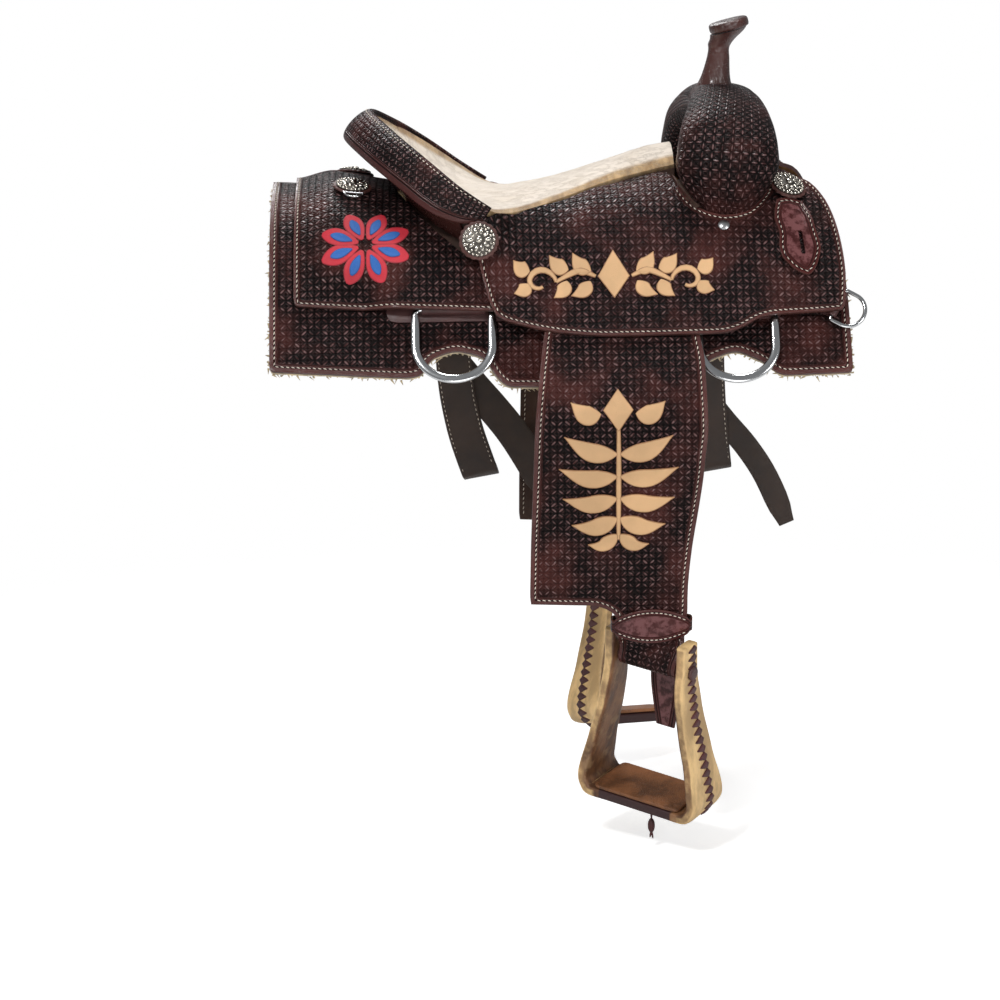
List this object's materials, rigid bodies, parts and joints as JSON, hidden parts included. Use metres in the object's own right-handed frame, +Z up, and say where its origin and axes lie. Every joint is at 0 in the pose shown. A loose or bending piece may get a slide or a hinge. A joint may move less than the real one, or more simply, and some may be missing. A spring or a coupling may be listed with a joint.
{
  "type": "western saddle",
  "caption": "All-around western saddle with tooled dark leather, suede seat, horn, cantle roll, rigging rings, hanging fenders and wide stirrups.",
  "frame": {"origin": "on the centre line at the lowest point of the dip where the horse's back carries the saddle, in the middle of its length", "axes": "+X to the horse's head, +Y to the horse's left, +Z up"},
  "size_m": [0.6645, 0.5254, 0.8968],
  "materials": {
    "dark_leather": "semi-gloss",
    "seat_suede": "matte suede",
    "horn_leather": "glossy",
    "under_leather": "matte",
    "rawhide": "matte",
    "tread_leather": "satin",
    "strap_leather": "satin",
    "ring_steel": "polished",
    "plain_steel": "brushed",
    "engraved_silver": "engraved, darkened",
    "fleece": "woolly",
    "tree": "matte"
  },
  "bodies": {
    "body": {"breast_tab_left": "dark_leather", "breast_tab_right": "dark_leather", "cantle_back": "dark_leather", "cantle_roll": "dark_leather", "concho_front_left": "engraved_silver", "concho_front_right": "engraved_silver", "concho_rear_left": "engraved_silver", "concho_rear_right": "engraved_silver", "concho_side_left": "engraved_silver", "concho_side_right": "engraved_silver", "fleece_left": "fleece", "fleece_right": "fleece", "fork_cover": "dark_leather", "ground_seat": "under_leather", "horn_cap": "horn_leather", "horn_core": "plain_steel", "horn_wrap": "horn_leather", "jockey_screw_left": "plain_steel", "jockey_screw_right": "plain_steel", "latigo_keeper_left": "dark_leather", "latigo_keeper_right": "dark_leather", "rear_jockey_left": "dark_leather", "rear_jockey_right": "dark_leather", "rigging_tab_front_left": "dark_leather", "rigging_tab_front_right": "dark_leather", "rigging_tab_rear_left": "dark_leather", "rigging_tab_rear_right": "dark_leather", "seat": "seat_suede", "seat_jockey_left": "dark_leather", "seat_jockey_right": "dark_leather", "skirt_left": "dark_leather", "skirt_right": "dark_leather", "tree_bar_left": "tree", "tree_bar_right": "tree", "tree_cantle": "tree", "tree_fork": "tree"},
    "swing_right": {"fender_right": "dark_leather", "stirrup_leather_right": "dark_leather", "hobble_strap_right": "dark_leather"},
    "tilt_right": {"stirrup_right": "rawhide", "tread_cover_right": "tread_leather", "stirrup_bolt_right": "plain_steel"},
    "sleeve_right": {"leather_buckle_right": "plain_steel"},
    "ring_rear_right": {"dee_rear_right": "ring_steel"},
    "ring_front_right": {"dee_front_right": "ring_steel"},
    "ring_breast_right": {"breast_dee_right": "ring_steel"},
    "ring_string_right": {"string_dee_right": "ring_steel"},
    "swing_left": {"fender_left": "dark_leather", "stirrup_leather_left": "dark_leather", "hobble_strap_left": "dark_leather"},
    "tilt_left": {"stirrup_left": "rawhide", "tread_cover_left": "tread_leather", "stirrup_bolt_left": "plain_steel"},
    "sleeve_left": {"leather_buckle_left": "plain_steel"},
    "ring_rear_left": {"dee_rear_left": "ring_steel"},
    "ring_front_left": {"dee_front_left": "ring_steel"},
    "ring_breast_left": {"breast_dee_left": "ring_steel"},
    "ring_string_left": {"string_dee_left": "ring_steel"},
    "hang_rear_left": {"billet_left": "strap_leather"},
    "hang_front_left": {"latigo_left": "strap_leather"}
  },
  "joints": [
    {"name": "fender_swing_right", "type": "hinge", "parent": "body", "child": "swing_right", "pos_m": [0.088, -0.18949, -0.05031], "axis": [0, -0.866, 0.5], "range_deg": [-12, 15]},
    {"name": "stirrup_tilt_right", "type": "hinge", "parent": "swing_right", "child": "tilt_right", "pos_m": [0.09, -0.20013, -0.47398], "axis": [0.809, -0.5749, -0.1222], "range_deg": [-60, 60]},
    {"name": "sleeve_slide_right", "type": "slide", "parent": "swing_right", "child": "sleeve_right", "axis": [0, -0.2079, 0.9781], "range_m": [0, 0.03]},
    {"name": "ring_rear_swing_right", "type": "hinge", "parent": "body", "child": "ring_rear_right", "pos_m": [-0.1265, -0.18939, -0.06884], "axis": [-1, 0, 0], "range_deg": [-2.5, 25]},
    {"name": "ring_front_swing_right", "type": "hinge", "parent": "body", "child": "ring_front_right", "pos_m": [0.187, -0.19239, -0.07404], "axis": [-1, 0, 0], "range_deg": [-2.5, 0]},
    {"name": "ring_breast_swing_right", "type": "hinge", "parent": "body", "child": "ring_breast_right", "pos_m": [0.301, -0.18954, -0.07165], "axis": [-0.515, -0.4286, -0.7423], "range_deg": [0, 15]},
    {"name": "ring_string_swing_right", "type": "hinge", "parent": "body", "child": "ring_string_right", "pos_m": [-0.23625, -0.09278, 0.05167], "axis": [-0.9898, -0.1006, 0.1011], "range_deg": [-6, 35]},
    {"name": "fender_swing_left", "type": "hinge", "parent": "body", "child": "swing_left", "pos_m": [0.088, 0.18949, -0.05031], "axis": [0, -0.866, -0.5], "range_deg": [-5, 5]},
    {"name": "stirrup_tilt_left", "type": "hinge", "parent": "swing_left", "child": "tilt_left", "pos_m": [0.09, 0.20013, -0.47398], "axis": [0.809, 0.5749, -0.1222], "range_deg": [-60, 60]},
    {"name": "sleeve_slide_left", "type": "slide", "parent": "swing_left", "child": "sleeve_left", "axis": [0, 0.2079, 0.9781], "range_m": [0, 0.03]},
    {"name": "ring_rear_swing_left", "type": "hinge", "parent": "body", "child": "ring_rear_left", "pos_m": [-0.1265, 0.18939, -0.06884], "axis": [1, 0, 0], "range_deg": [-2.5, 25]},
    {"name": "ring_front_swing_left", "type": "hinge", "parent": "body", "child": "ring_front_left", "pos_m": [0.187, 0.19239, -0.07404], "axis": [1, 0, 0], "range_deg": [-2.5, 0]},
    {"name": "ring_breast_swing_left", "type": "hinge", "parent": "body", "child": "ring_breast_left", "pos_m": [0.301, 0.18954, -0.07165], "axis": [0.515, -0.4286, 0.7423], "range_deg": [0, 15]},
    {"name": "ring_string_swing_left", "type": "hinge", "parent": "body", "child": "ring_string_left", "pos_m": [-0.23625, 0.09278, 0.05167], "axis": [0.9898, -0.1006, -0.1011], "range_deg": [-6, 35]},
    {"name": "hang_rear_swing_left", "type": "hinge", "parent": "ring_rear_left", "child": "hang_rear_left", "pos_m": [-0.1265, 0.23064, -0.14029], "axis": [1, 0, 0], "range_deg": [-3, 15]},
    {"name": "hang_front_swing_left", "type": "hinge", "parent": "ring_front_left", "child": "hang_front_left", "pos_m": [0.19, 0.23364, -0.14549], "axis": [1, 0, 0], "range_deg": [-3, 15]}
  ]
}
